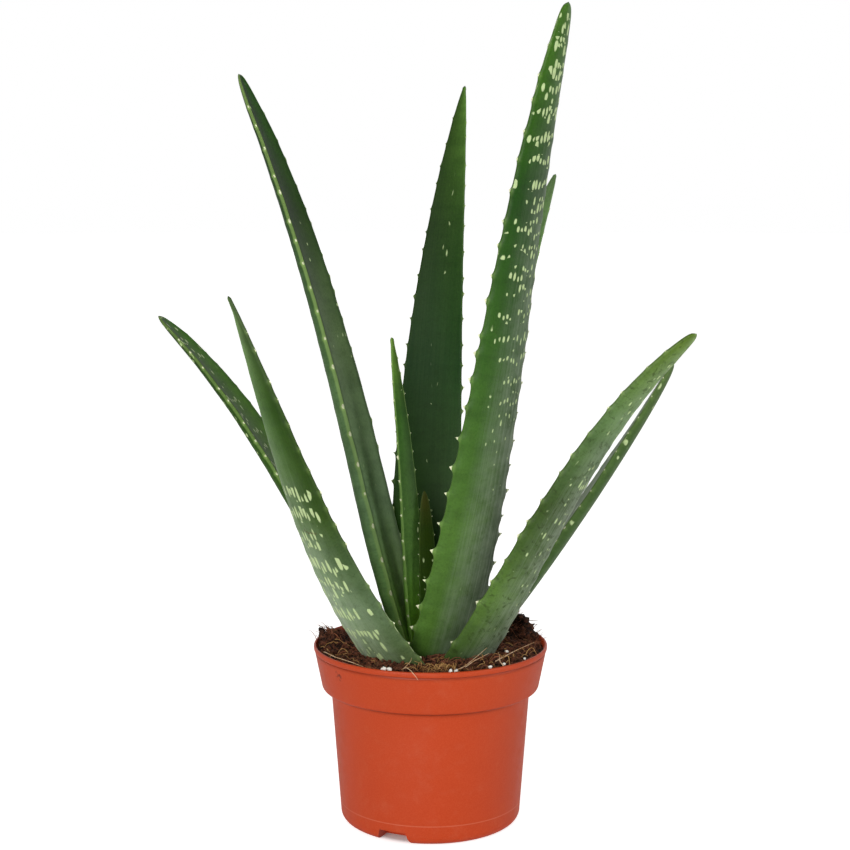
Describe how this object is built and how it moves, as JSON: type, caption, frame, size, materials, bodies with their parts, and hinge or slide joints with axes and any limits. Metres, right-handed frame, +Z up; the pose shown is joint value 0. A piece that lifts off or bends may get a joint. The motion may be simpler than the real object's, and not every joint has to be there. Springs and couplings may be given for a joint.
{
  "type": "potted aloe plant",
  "caption": "Young aloe rosette of long, toothed, spotted fleshy leaves in a plain terracotta-coloured plastic nursery pot filled with dark potting soil; stands on a table or shelf.",
  "frame": {"origin": "centre of the pot's base, on the pot's axis", "axes": "+Z up along the pot's axis, the plant's front faces -Y, +X to the right seen from the front"},
  "size_m": [0.2698, 0.1769, 0.4055],
  "materials": {
    "pot_plastic": "satin moulded plastic",
    "potting_soil": "loose, fibrous peat",
    "stem_flesh": "smooth plant flesh",
    "leaf_flesh": "waxy, pale-spotted leaf skin"
  },
  "bodies": {
    "root": {"pot": "pot_plastic", "stem": "stem_flesh", "leaf_heart": "leaf_flesh", "leaf_young": "leaf_flesh", "leaf_tall_left": "leaf_flesh", "leaf_tall_right": "leaf_flesh", "leaf_back": "leaf_flesh", "leaf_behind_right": "leaf_flesh", "leaf_far_right": "leaf_flesh", "leaf_low_right": "leaf_flesh", "leaf_far_left": "leaf_flesh", "leaf_low_left": "leaf_flesh", "soil": "potting_soil"}
  },
  "joints": []
}
